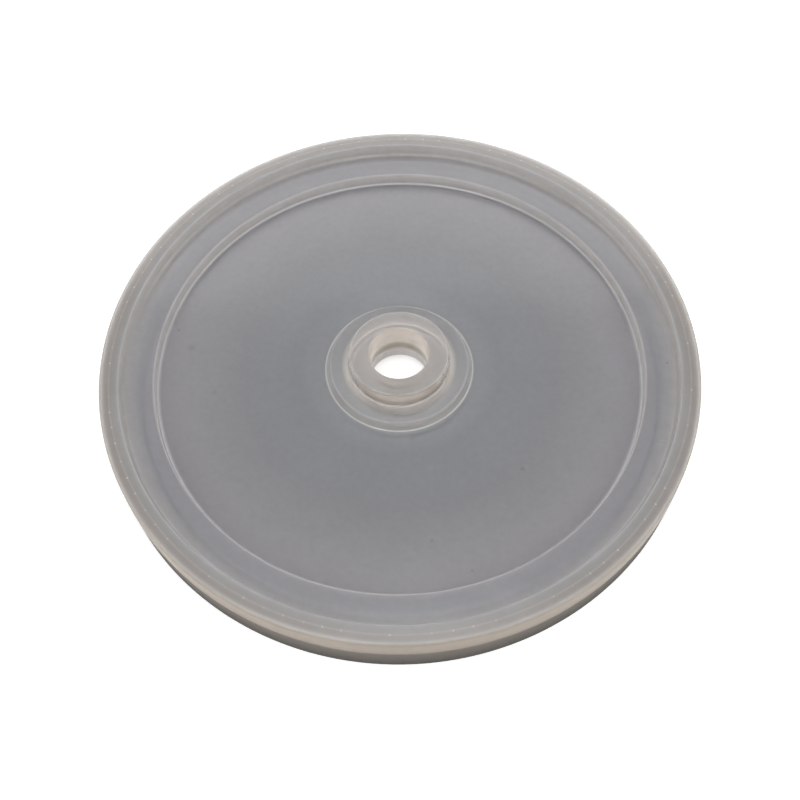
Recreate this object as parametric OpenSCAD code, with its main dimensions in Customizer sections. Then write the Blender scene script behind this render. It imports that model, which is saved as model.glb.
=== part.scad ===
// Pump diaphragm seal, moulded in one piece from a clear elastomer.
// A thick rim bead is clamped between the pump body and its head, a flat clamping ring lies inside it,
// a thin web flexes, and a hub pad with a collar takes the piston stud through its bore.
// Millimetres. The underside of the bead is z = 0, and the bore lies on the Z axis.

/* [Overall] */
// diameter over the rim bead, at the parting line
outer_d = 105; // [95:0.5:130]
// height of the rim bead; the collar ends level with its top
bead_h = 10; // [9.6:0.1:13]

/* [Rim bead] */
// width of the bead above the clamping ring
bead_top_w = 3.5; // [3:0.1:5]
// width of the bead below the clamping ring
bead_low_w = 6.1; // [4:0.1:6.3]
// height of the mould's parting line
parting_z = 6.1; // [4.5:0.1:7]

/* [Clamping ring] */
// width of the ring's flat, from the bead to the step
ring_w = 5.7; // [5.6:0.1:10]
// height of the ring's top face
ring_top_z = 7.7; // [7:0.1:8]
// height of the ring's under face
ring_low_z = 2.95; // [2.7:0.05:3.1]

/* [Web] */
// height of the web's top face
web_top_z = 5.35; // [5.2:0.05:5.6]
// thickness of the flexing web
web_t = 1.8; // [1.4:0.05:2]

/* [Hub] */
// diameter of the raised pad at its top edge
pad_d = 24.6; // [24:0.1:40]
// height of the pad's top face
pad_top_z = 6.75; // [6.4:0.05:7]
// diameter of the collar's end faces
collar_d = 17.7; // [16:0.1:18.2]
// height of the collar's lower end, which stays clear of the surface that the bead lies on
collar_low_z = 1; // [0.6:0.1:1.4]
// diameter of the bore for the piston stud
bore_d = 10.4; // [8:0.1:12]

/* [Moulding] */
// draft of the upright walls, in degrees
draft = 1; // [0.5:0.5:4]
// radius of the rim bead's upper outer edge
bead_edge_r = 0.5; // [0.3:0.05:0.8]
// radius of the other outer edges
edge_r = 0.3; // [0.15:0.05:0.4]
// radius in the foot of the bead's inner walls
bead_foot_r = 0.75; // [0.3:0.05:0.8]
// radius in the foot of the collar, above the pad
collar_foot_r = 0.4; // [0.2:0.1:1.4]

/* [Hidden] */
$fn = 128;

// how far a drafted wall leans over a height, to the micron
function lean(h) = round(1000 * h * tan(draft)) / 1000;

outer_r = outer_d / 2;
ring_r = outer_r - bead_top_w - ring_w;
pad_r = pad_d / 2;
collar_r = collar_d / 2;
bore_r = bore_d / 2;
web_low_z = web_top_z - web_t;

// the pad leans further than a drafted wall, so that it doesn't notch the flexing web
pad_foot_r = pad_r + 0.54 * (pad_top_z - web_top_z);
// under the web the pad and the ring end in a short ramp
ramp = 1;

// Half section as [radius, height, rounding], from the bore's lower mouth outwards and back over the top.
section = [
    [bore_r, collar_low_z, edge_r],
    [collar_r, collar_low_z, edge_r],
    [collar_r + lean(ring_low_z - collar_low_z), ring_low_z, 2 * edge_r],
    [pad_foot_r, ring_low_z, edge_r],
    [pad_foot_r + ramp, web_low_z, edge_r],
    [ring_r, web_low_z, edge_r],
    [ring_r + ramp, ring_low_z, edge_r],
    [outer_r - bead_low_w - lean(ring_low_z), ring_low_z, bead_foot_r],
    [outer_r - bead_low_w, 0, edge_r],
    [outer_r - lean(parting_z), 0, edge_r],
    [outer_r, parting_z, 0],
    [outer_r - lean(bead_h - parting_z), bead_h, bead_edge_r],
    [outer_r - bead_top_w, bead_h, edge_r],
    [outer_r - bead_top_w - lean(bead_h - ring_top_z), ring_top_z, bead_foot_r],
    [ring_r, ring_top_z, edge_r],
    [ring_r - lean(ring_top_z - web_top_z), web_top_z, edge_r],
    [pad_foot_r, web_top_z, edge_r / 2],
    [pad_r, pad_top_z, edge_r],
    [collar_r + lean(bead_h - pad_top_z), pad_top_z, collar_foot_r],
    [collar_r, bead_h, edge_r],
    [bore_r, bead_h, edge_r]
];

count = len(section);
function corner(i) = let (p = section[(i + count) % count]) [p[0], p[1]];
function unit(v) = v / norm(v);
function turn(a, b, c) = (b[0] - a[0]) * (c[1] - b[1]) - (b[1] - a[1]) * (c[0] - b[0]);
function outward(i) = turn(corner(i - 1), corner(i), corner(i + 1)) > 0;

// The sliver between a corner and the arc that rounds it. It runs a little past both walls and its arc is
// a hair wider than the rounding, so the arc meets each wall in one clean edge.
module sliver(i) {
    r = section[i][2];
    u = unit(corner(i - 1) - corner(i));
    v = unit(corner(i + 1) - corner(i));
    half = acos(u * v) / 2;
    reach = r / tan(half);
    centre = unit(u + v) * r / sin(half);
    translate(corner(i)) difference() {
        polygon([for (p = [[0, 0], u * reach, centre, v * reach]) centre + (p - centre) * 1.1]);
        translate(centre) circle(r + 0.00002);
    }
}

// The half section with every corner rounded: outer ones are cut away, inner ones are filled.
module half_section() {
    difference() {
        union() {
            polygon([for (i = [0 : count - 1]) corner(i)]);
            for (i = [0 : count - 1])
                if (section[i][2] > 0 && !outward(i)) sliver(i);
        }
        for (i = [0 : count - 1])
            if (section[i][2] > 0 && outward(i)) sliver(i);
    }
}

module diaphragm() {
    color([0.74, 0.72, 0.68]) rotate_extrude() half_section();
}

diaphragm();
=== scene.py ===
import math
import bpy
from mathutils import Matrix, Vector


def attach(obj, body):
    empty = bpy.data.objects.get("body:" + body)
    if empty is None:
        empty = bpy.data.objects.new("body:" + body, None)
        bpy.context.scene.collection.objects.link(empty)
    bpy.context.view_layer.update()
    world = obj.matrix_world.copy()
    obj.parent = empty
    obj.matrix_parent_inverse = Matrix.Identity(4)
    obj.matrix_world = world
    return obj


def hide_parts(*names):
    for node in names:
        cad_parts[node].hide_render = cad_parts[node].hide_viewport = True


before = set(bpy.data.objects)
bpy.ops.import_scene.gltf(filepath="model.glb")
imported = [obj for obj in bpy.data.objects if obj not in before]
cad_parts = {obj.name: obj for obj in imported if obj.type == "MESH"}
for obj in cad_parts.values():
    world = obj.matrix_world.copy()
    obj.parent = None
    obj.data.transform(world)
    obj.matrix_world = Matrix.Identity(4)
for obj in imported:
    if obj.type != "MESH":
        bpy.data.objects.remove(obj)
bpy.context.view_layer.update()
scene = bpy.context.scene
print("frame loaded")

mm = 0.001
samePlace = 1e-6  # places closer than this, in metres, are one place


def clearSelection():
    for other in bpy.context.selected_objects:
        other.select_set(False)
    bpy.context.view_layer.objects.active = None


# Half section in millimetres as radius, height and rounding, from the bore's lower mouth outwards and back.
diaphragm = {
    "section": [
        (5.2, 1.0, 0.3),
        (8.85, 1.0, 0.3),
        (8.884, 2.95, 0.6),
        (13.056, 2.95, 0.3),
        (14.056, 3.55, 0.3),
        (43.3, 3.55, 0.3),
        (44.3, 2.95, 0.3),
        (46.349, 2.95, 0.75),
        (46.4, 0.0, 0.3),
        (52.394, 0.0, 0.3),
        (52.5, 6.1, 0.0),
        (52.432, 10.0, 0.5),
        (49.0, 10.0, 0.3),
        (48.96, 7.7, 0.75),
        (43.3, 7.7, 0.3),
        (43.259, 5.35, 0.3),
        (13.056, 5.35, 0.15),
        (12.3, 6.75, 0.3),
        (8.907, 6.75, 0.4),
        (8.85, 10.0, 0.3),
        (5.2, 10.0, 0.3),
    ],
    "arcSegments": 8,  # in a quarter turn of rounding
    "turnSteps": 288,
    "partingHeight": 6.1,
}


def cornerPlace(corner):
    # the section is drawn in the plane y = 0
    return Vector((corner[0], 0, corner[1])) * mm


def drawSection(section):
    # one vertex, pulled from corner to corner
    place = cornerPlace(section[0])
    bpy.ops.mesh.primitive_plane_add(size=mm, location=place)
    bpy.ops.object.mode_set(mode="EDIT")
    bpy.ops.mesh.merge(type="CENTER")
    for corner in section[1:]:
        target = cornerPlace(corner)
        bpy.ops.mesh.extrude_region_move(TRANSFORM_OT_translate={"value": target - place})
        place = target
    bpy.ops.mesh.select_all(action="SELECT")
    bpy.ops.object.mode_set(mode="OBJECT")
    bpy.ops.object.transform_apply(location=True, rotation=True, scale=True)
    return bpy.context.active_object


def pick(piece, wanted):
    # selects the vertices that the test wants, in edit mode
    bpy.ops.object.mode_set(mode="OBJECT")
    for vert in piece.data.vertices:
        vert.select = wanted(vert.co)
    for edge in piece.data.edges:
        edge.select = False
    bpy.ops.object.mode_set(mode="EDIT")


def roundCorners(piece, section, arcSegments):
    for i, (radius, height, rounding) in enumerate(section):
        if rounding == 0:
            continue
        corner = Vector((radius, height))
        toBefore = (Vector(section[i - 1][:2]) - corner).normalized()
        toAfter = (Vector(section[(i + 1) % len(section)][:2]) - corner).normalized()
        half = toBefore.angle(toAfter) / 2
        steps = max(2, round(arcSegments * (math.pi - 2 * half) / (math.pi / 2)))
        spot = cornerPlace(section[i])
        pick(piece, lambda co: (co - spot).length < samePlace)
        bpy.ops.mesh.bevel(offset_type="OFFSET", offset=rounding / math.tan(half) * mm, segments=steps,
                           affect="VERTICES", profile=0.5)


def makeDiaphragm(settings):
    clearSelection()
    section = settings["section"]
    piece = drawSection(section)
    piece.name = "diaphragmBody"
    # the outline is closed along the bore, rounded and turned once about the axis
    ends = [cornerPlace(section[0]), cornerPlace(section[-1])]
    pick(piece, lambda co: min((co - end).length for end in ends) < samePlace)
    bpy.ops.mesh.edge_face_add()
    roundCorners(piece, section, settings["arcSegments"])
    bpy.ops.mesh.select_all(action="SELECT")
    bpy.ops.mesh.spin(steps=settings["turnSteps"], angle=2 * math.pi, center=(0, 0, 0), axis=(0, 0, 1))
    bpy.ops.mesh.select_all(action="SELECT")
    bpy.ops.mesh.remove_doubles(threshold=1e-7)
    bpy.ops.mesh.normals_make_consistent(inside=False)
    parting = settings["partingHeight"] * mm
    pick(piece, lambda co: abs(co.z - parting) < samePlace)
    bpy.ops.mesh.mark_sharp()
    bpy.ops.object.mode_set(mode="OBJECT")
    bpy.ops.object.shade_smooth()
    # the flats keep their own direction, and only the roundings shade as curves
    bpy.ops.object.modifier_add(type="WEIGHTED_NORMAL")
    evened = piece.modifiers[-1]
    evened.weight = 100
    evened.keep_sharp = True
    bpy.ops.object.modifier_apply(modifier=evened.name)
    return piece


body = makeDiaphragm(diaphragm)
print("diaphragm modelled", len(body.data.vertices), len(body.data.polygons))
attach(body, "root")
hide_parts("diaphragm")


class Wire:
    # one socket of a node tree, with the usual arithmetic on it
    def __init__(self, tree, socket):
        self.tree, self.socket = tree, socket

    def output(self, name):
        # another output of the same node
        return Wire(self.tree, self.socket.node.outputs[name])

    def math(self, operation, *values):
        return addNode(self.tree, "ShaderNodeMath", {"operation": operation}, dict(enumerate(values)))

    def __add__(self, other):
        return self.math("ADD", self, other)

    def __radd__(self, other):
        return self.math("ADD", other, self)

    def __sub__(self, other):
        return self.math("SUBTRACT", self, other)

    def __rsub__(self, other):
        return self.math("SUBTRACT", other, self)

    def __mul__(self, other):
        return self.math("MULTIPLY", self, other)

    def __rmul__(self, other):
        return self.math("MULTIPLY", other, self)

    def __truediv__(self, other):
        return self.math("DIVIDE", self, other)

    def __rtruediv__(self, other):
        return self.math("DIVIDE", other, self)

    def __pow__(self, other):
        return self.math("POWER", self, other)

    def __abs__(self):
        return self.math("ABSOLUTE", self)


def addNode(tree, kind, settings=None, inputs=None, output=0):
    # settings come first, since they can change which sockets there are
    node = tree.nodes.new(kind)
    for name, value in (settings or {}).items():
        if name == "stops":
            ramp = node.color_ramp
            while len(ramp.elements) > 1:
                ramp.elements.remove(ramp.elements[-1])
            for i, (position, color) in enumerate(value):
                stop = ramp.elements[0] if i == 0 else ramp.elements.new(position)
                stop.position, stop.color = position, color
        else:
            setattr(node, name, value)
    for name, value in (inputs or {}).items():
        if isinstance(value, Wire):
            tree.links.new(value.socket, node.inputs[name])
        else:
            node.inputs[name].default_value = value
    return Wire(tree, node.outputs[output]) if node.outputs else None


def newMaterial(name):
    material = bpy.data.materials.new(name)
    material.use_nodes = True
    material.node_tree.nodes.clear()
    return material, material.node_tree


def finishMaterial(tree, shader):
    addNode(tree, "ShaderNodeOutputMaterial", None, {"Surface": shader})


def linear(value):
    # a screen value from 0 to 255 as the linear value that a socket takes
    share = value / 255
    return share / 12.92 if share < 0.0404 else ((share + 0.055) / 1.055) ** 2.4


def srgb(red, green, blue):
    return linear(red), linear(green), linear(blue), 1


# Colors are screen values from 0 to 255. Distances are in millimetres.
# The elastomer's finish, together with painted light and shade: the marked entries below are painted
# highlights, a painted glow and painted shade.
elastomerFinishAndPaintedLight = {
    # Besides the milk's tone, faceColors holds painted light: the near-white stops on the collar's wall (8.8,
    # 8.95) are a painted glow, and the paler stops at the pad's sloped edge (12.3, 12.9) and at the step's
    # foot (43.1) are painted highlights.
    "faceColors": [  # by radius, from the bore to the bead
        (5.3, (171, 171, 158)), (5.7, (169, 164, 163)), (8.4, (161, 157, 152)), (8.8, (250, 246, 245)),
        (8.95, (244, 230, 216)), (10.3, (150, 151, 153)), (11.2, (149, 150, 153)), (12.0, (148, 148, 148)),
        (12.3, (174, 170, 176)), (12.9, (178, 180, 175)), (13.5, (153, 154, 158)), (18.0, (143, 146, 149)),
        (28.0, (149, 148, 151)), (35.0, (161, 157, 160)), (42.6, (176, 170, 173)), (43.1, (252, 252, 252)),
        (43.3, (181, 173, 170)), (43.5, (150, 146, 151)), (44.0, (146, 144, 148)), (46.0, (151, 151, 156)),
        (47.8, (169, 167, 169)), (48.6, (175, 174, 174)), (49.1, (161, 161, 163)), (49.7, (147, 145, 144)),
        (51.7, (136, 130, 127)), (52.2, (148, 146, 141)),
    ],
    "wallColors": [  # by height, on the bead's outer wall; the dark lower half below the parting line is painted shade
        (0.3, (101, 100, 96)), (5.8, (140, 132, 125)), (6.3, (158, 147, 138)), (7.8, (164, 152, 137)),
        (9.5, (162, 149, 135)),
    ],
    "boreColors": [  # by height; the pale bands are painted light passing through the collar, and the dark band from 3.7 to 5.2 is painted shade of the recess seen through the wall
        (1.2, (252, 252, 252)), (3.4, (252, 252, 252)), (3.7, (196, 187, 170)), (4.3, (138, 130, 123)),
        (5.2, (164, 156, 142)), (5.9, (241, 222, 206)), (7.5, (230, 211, 198)), (9.5, (191, 175, 165)),
    ],
    "boreEdge": (5.22, 5.4),  # radii between which the bore's finish turns into the faces'
    "wallEdge": (52.2, 52.35),  # and the faces' finish into the outer wall's
    "refraction": 1.48,
    "depth": 30.0,  # how far light runs inside the milk
    "depthByColor": (1.0, 0.92, 0.84),
    "clearShares": [  # by radius; the collar's wall and the pad let more through
        (5.3, 0.5), (8.4, 0.5), (8.7, 0.85), (9.0, 0.85), (9.4, 0.62), (12.6, 0.5), (13.2, 0.35), (14.0, 0.3),
        (42.6, 0.3), (48.6, 0.34), (51.4, 0.3), (52.0, 0.05), (52.4, 0.05),
    ],
    "boreClearShares": [(3.4, 0.45), (3.7, 0.1)],  # by height
    "clearGamma": 0.5,  # the clear share's color is this much paler than the milk's
    "satinRoughness": 0.2,
    "clearRoughness": 0.06,
    "matteRoughness": 0.5,
    "wallMatte": [(5.9, 0.95), (6.2, 0.5)],  # by height; below the parting line the wall hardly shines
    "boreMatte": [(3.4, 0.7), (3.7, 0.0)],  # by height
    "grain": {"size": 1.3, "color": 0.14, "bump": 0.012},
    "clouds": {"size": 12.0, "color": 0.12, "bump": 0.08},
    # x, y, radius and depth of the small dark specks that the moulding took up
    "specks": [
        (-40.3, 9.4, 0.3, 0.35), (-37.6, 5.5, 0.9, 0.16), (47.2, -2.4, 0.27, 0.5), (4.4, -33.6, 0.35, 0.2),
        (10.7, -39.0, 0.3, 0.25), (20.3, -21.1, 0.55, 0.22), (-32.9, -4.1, 0.7, 0.1),
    ],
    "speckColor": (90, 90, 92),
    # x, y, half length and half width
    "scratches": [(44.0, -17.8, 0.5, 0.15), (43.7, -18.5, 0.5, 0.15)],
    "scratchStrength": 0.3,
    "scratchColor": (190, 190, 190),
    # tiny pale pips on the bead's top face; they wander a little, and patches of them are faint
    "pips": {
        "count": 96, "radius": 50.7, "size": 0.22, "color": (178, 174, 168), "bump": 0.01,
        "wander": 0.8, "patchSize": 4.0, "patchEdge": (0.38, 0.62), "above": (9.7, 9.9),
    },
    # radius, height, half width and strength of the painted highlights, thin pale lines along the feet and
    # edges
    "highlightLines": [
        (13.15, 5.4, 0.18, 0.35), (43.1, 5.4, 0.2, 0.35), (43.45, 7.7, 0.18, 0.16),
        (49.15, 10.0, 0.16, 0.08), (50.65, 10.0, 0.22, 0.05),
    ],
    "highlightReach": (0.25, 0.4),  # a line fades out between these distances above and below its height
    "highlightColor": (226, 224, 220),
    # radius, height, reach and strength of a painted glow, emission on the collar's two hidden edges, which
    # shows through
    "paintedGlows": [(8.75, 1.1, 0.5, 0.04), (8.95, 2.9, 0.35, 0.35)],
    "paintedGlowColor": (235, 218, 205),
    "softCore": 0.5,  # a soft mark is even over this share of its size, and fades from there
    "crispCore": 0.4,  # and so is a fine one
}


def rampOver(place, steps):
    # a ramp from places and linear colors; the ends keep their color
    low, high = steps[0][0], steps[-1][0]
    stops = [((where - low) / (high - low), color) for where, color in steps]
    return addNode(place.tree, "ShaderNodeValToRGB", {"stops": stops}, {"Fac": (place - low) / (high - low)})


def colorSteps(place, steps):
    return rampOver(place, [(where, srgb(*color)) for where, color in steps])


def shareSteps(place, steps):
    return rampOver(place, [(where, (share, share, share, 1)) for where, share in steps])


def between(value, low, high):
    # 0 below low, 1 above high, smooth between
    return addNode(value.tree, "ShaderNodeMapRange", {"interpolation_type": "SMOOTHSTEP"}, {
        "Value": value, "From Min": low, "From Max": high, "To Min": 0.0, "To Max": 1.0})


def mark(away, size, core):
    # 1 over the core's share of the size, 0 beyond the size
    return 1 - between(away, size * core, size)


def distance(first, second):
    return (first * first + second * second) ** 0.5


def mixColor(factor, first, second):
    return addNode(factor.tree, "ShaderNodeMix", {"data_type": "RGBA"}, {0: factor, 6: first, 7: second}, 2)


def noise(place, size):
    # soft noise from 0 to 1 with features of about this size
    return addNode(place.tree, "ShaderNodeTexNoise", None, {
        "Vector": place, "Scale": 1 / (size * mm), "Detail": 2.0, "Roughness": 0.6})


def makeElastomer(finishAndPaintedLight):
    material, tree = newMaterial("clearElastomer")
    place = addNode(tree, "ShaderNodeTexCoord", None, None, "Object")
    split = addNode(tree, "ShaderNodeSeparateXYZ", None, {"Vector": place})
    x, y, height = split / mm, split.output("Y") / mm, split.output("Z") / mm
    radius = distance(x, y)

    inBore = 1 - between(radius, *finishAndPaintedLight["boreEdge"])
    onWall = between(radius, *finishAndPaintedLight["wallEdge"])
    # the colours by radius carry a painted glow on the collar's wall and painted highlights at the pad's edge
    # and the step's foot
    color = colorSteps(radius, finishAndPaintedLight["faceColors"])
    # the outer wall's dark lower half is painted shade
    color = mixColor(onWall, color, colorSteps(height, finishAndPaintedLight["wallColors"]))
    # the bore's pale bands are painted light and its dark band is painted shade
    color = mixColor(inBore, color, colorSteps(height, finishAndPaintedLight["boreColors"]))

    # a fine grain and wide clouds, so that the milk isn't even
    grain = noise(place, finishAndPaintedLight["grain"]["size"])
    clouds = noise(place, finishAndPaintedLight["clouds"]["size"])
    shade = (grain - 0.5) * finishAndPaintedLight["grain"]["color"] + (clouds - 0.5) * finishAndPaintedLight["clouds"]["color"] + 1
    color = addNode(tree, "ShaderNodeVectorMath", {"operation": "SCALE"}, {"Vector": color, "Scale": shade})

    dirt = 0
    for spotX, spotY, size, depth in finishAndPaintedLight["specks"]:
        dirt = mark(distance(x - spotX, y - spotY), size, finishAndPaintedLight["crispCore"]) * depth + dirt
    color = mixColor(dirt, color, srgb(*finishAndPaintedLight["speckColor"]))
    scratched = 0
    for spotX, spotY, length, width in finishAndPaintedLight["scratches"]:
        scratch = mark(abs(x - spotX), length, finishAndPaintedLight["softCore"])
        scratch = scratch * mark(abs(y - spotY), width, finishAndPaintedLight["crispCore"])
        scratched = scratch * finishAndPaintedLight["scratchStrength"] + scratched
    color = mixColor(scratched, color, srgb(*finishAndPaintedLight["scratchColor"]))

    pips = finishAndPaintedLight["pips"]
    turned = y.math("ARCTAN2", y, x) * (pips["count"] / (2 * math.pi)) + clouds * pips["wander"]
    along = (turned.math("FRACT", turned) - 0.5) * (2 * math.pi * pips["radius"] / pips["count"])
    pipMask = mark(distance(along, radius - pips["radius"]), pips["size"], finishAndPaintedLight["softCore"])
    pipMask = pipMask * between(height, *pips["above"])
    pipMask = pipMask * between(noise(place, pips["patchSize"]), *pips["patchEdge"])
    color = mixColor(pipMask, color, srgb(*pips["color"]))

    relief = grain * finishAndPaintedLight["grain"]["bump"] + clouds * finishAndPaintedLight["clouds"]["bump"] + pipMask * pips["bump"]
    normal = addNode(tree, "ShaderNodeBump", None, {"Strength": 1.0, "Distance": mm, "Height": relief})
    milky = addNode(tree, "ShaderNodeBsdfPrincipled", None, {
        "Base Color": color, "Roughness": finishAndPaintedLight["satinRoughness"], "IOR": finishAndPaintedLight["refraction"],
        "Subsurface Weight": 1.0, "Subsurface Radius": finishAndPaintedLight["depthByColor"],
        "Subsurface Scale": finishAndPaintedLight["depth"] * mm, "Normal": normal})
    # a painted glow: emission on the collar's hidden edges, seen through the clear share
    glow = 0
    for spotRadius, spotHeight, reach, strength in finishAndPaintedLight["paintedGlows"]:
        away = distance(radius - spotRadius, height - spotHeight)
        glow = mark(away, reach, finishAndPaintedLight["softCore"]) * strength + glow
    clearColor = addNode(tree, "ShaderNodeGamma", None, {"Color": color, "Gamma": finishAndPaintedLight["clearGamma"]})
    clear = addNode(tree, "ShaderNodeBsdfPrincipled", None, {
        "Emission Color": mixColor(glow, (0, 0, 0, 1), srgb(*finishAndPaintedLight["paintedGlowColor"])), "Emission Strength": 1.0,
        "Base Color": clearColor, "Roughness": finishAndPaintedLight["clearRoughness"], "IOR": finishAndPaintedLight["refraction"],
        "Transmission Weight": 1.0, "Normal": normal})
    share = shareSteps(radius, finishAndPaintedLight["clearShares"])
    share = inBore * (shareSteps(height, finishAndPaintedLight["boreClearShares"]) - share) + share
    shader = addNode(tree, "ShaderNodeMixShader", None, {0: share, 1: milky, 2: clear})

    dull = addNode(tree, "ShaderNodeBsdfPrincipled", None, {
        "Base Color": color, "Roughness": finishAndPaintedLight["matteRoughness"], "Specular IOR Level": 0.0,
        "Normal": normal})
    dullShare = onWall * shareSteps(height, finishAndPaintedLight["wallMatte"])
    dullShare = inBore * shareSteps(height, finishAndPaintedLight["boreMatte"]) + dullShare
    shader = addNode(tree, "ShaderNodeMixShader", None, {0: dullShare, 1: shader, 2: dull})

    # painted highlights: a pale shader mixed in as thin lines along the feet and edges
    highlightLines = 0
    for lineRadius, lineHeight, width, strength in finishAndPaintedLight["highlightLines"]:
        line = mark(abs(radius - lineRadius), width, finishAndPaintedLight["crispCore"])
        line = line * (1 - between(abs(height - lineHeight), *finishAndPaintedLight["highlightReach"]))
        highlightLines = line * strength + highlightLines
    pale = addNode(tree, "ShaderNodeBsdfPrincipled", None, {
        "Base Color": srgb(*finishAndPaintedLight["highlightColor"]), "Roughness": finishAndPaintedLight["satinRoughness"],
        "IOR": finishAndPaintedLight["refraction"]})
    finishMaterial(tree, addNode(tree, "ShaderNodeMixShader", None, {0: highlightLines, 1: shader, 2: pale}))
    return material


body.data.materials.append(makeElastomer(elastomerFinishAndPaintedLight))
print("materials made")

# Metres. Between the farFloor distances the floor turns as white as the room behind it.
stage = {
    "floorColor": (0.86, 0.86, 0.86, 1),
    "floorSize": 4.0,
    "floorDrop": 0.00002,  # keeps the floor clear of the bead's under face
    "floorGlow": 0.5,
    "farFloor": (0.3, 0.9),
    "roomLevel": 0.05,
}

clearSelection()
bpy.ops.mesh.primitive_plane_add(size=stage["floorSize"], location=(0, 0, -stage["floorDrop"]))
floor = bpy.context.active_object
floor.name = "paleFloor"
bpy.ops.object.transform_apply(location=True, rotation=True, scale=True)


def seenDirectly(tree):
    # 1 for the camera and for what gloss and clear material show, 0 for the light on the object
    rays = [addNode(tree, "ShaderNodeLightPath", None, None, name)
            for name in ("Is Camera Ray", "Is Glossy Ray", "Is Transmission Ray")]
    total = rays[0] + rays[1] + rays[2]
    return total.math("MINIMUM", total, 1)


floorMaterial, tree = newMaterial("paleFloor")
place = addNode(tree, "ShaderNodeTexCoord", None, None, "Object")
away = addNode(tree, "ShaderNodeVectorMath", {"operation": "LENGTH"}, {0: place}, "Value")
glow = between(away, *stage["farFloor"]) * (1 - stage["floorGlow"]) + stage["floorGlow"]
finishMaterial(tree, addNode(tree, "ShaderNodeBsdfPrincipled", None, {
    "Base Color": stage["floorColor"], "Roughness": 0.9, "Specular IOR Level": 0.0,
    "Emission Color": seenDirectly(tree) * glow, "Emission Strength": 1.0}))
floor.data.materials.append(floorMaterial)

world = bpy.data.worlds.new("studio")
scene.world = world
world.use_nodes = True
tree = world.node_tree
tree.nodes.clear()
room = addNode(tree, "ShaderNodeBackground", None, {"Color": (1, 1, 1, 1), "Strength": stage["roomLevel"]})
white = addNode(tree, "ShaderNodeBackground", None, {"Color": (1, 1, 1, 1), "Strength": 1.0})
sky = addNode(tree, "ShaderNodeMixShader", None, {0: seenDirectly(tree), 1: room, 2: white})
addNode(tree, "ShaderNodeOutputWorld", None, {"Surface": sky})

# Square softboxes round the seal, all aimed at it.
lampSize = 0.4
lamps = {
    "softboxTop": {"location": (0.0, -0.052, 0.598), "watts": 1.72},
    "softboxBack": {"location": (0.0, 0.491, 0.344), "watts": 0.86},
    "softboxLeft": {"location": (-0.491, 0.0, 0.344), "watts": 0.92},
    "softboxRight": {"location": (0.491, 0.0, 0.344), "watts": 1.28},
    "softboxFrontLeft": {"location": (-0.292, -0.417, 0.318), "watts": 0.92},
    "softboxFrontRight": {"location": (0.292, -0.417, 0.318), "watts": 0.43},
}


def aimFrom(location, target):
    return (Vector(target) - Vector(location)).to_track_quat("-Z", "Y")


for name, lamp in lamps.items():
    data = bpy.data.lights.new(name, "AREA")
    data.shape = "RECTANGLE"
    data.size, data.size_y = lampSize, lampSize
    data.energy = lamp["watts"]
    softbox = bpy.data.objects.new(name, data)
    scene.collection.objects.link(softbox)
    softbox.location = lamp["location"]
    softbox.rotation_euler = aimFrom(lamp["location"], (0, 0, 0)).to_euler()
print("stage and lamps set")

# The photograph's view: metres, the roll in degrees and the lens in millimetres.
view = {"from": (0, -0.09975, 0.16502), "at": (-0.00005, -0.00689, 0.00535), "roll": -1.826, "lens": 47.24}
cameraData = bpy.data.cameras.new("photoView")
camera = bpy.data.objects.new("photoView", cameraData)
scene.collection.objects.link(camera)
cameraData.sensor_width = 36
cameraData.lens = view["lens"]
cameraData.clip_start = 0.01
camera.location = view["from"]
aim = aimFrom(view["from"], view["at"]).to_matrix().to_4x4()
camera.rotation_euler = (aim @ Matrix.Rotation(math.radians(view["roll"]), 4, "Z")).to_euler()
scene.camera = camera
scene.view_settings.view_transform = "Standard"
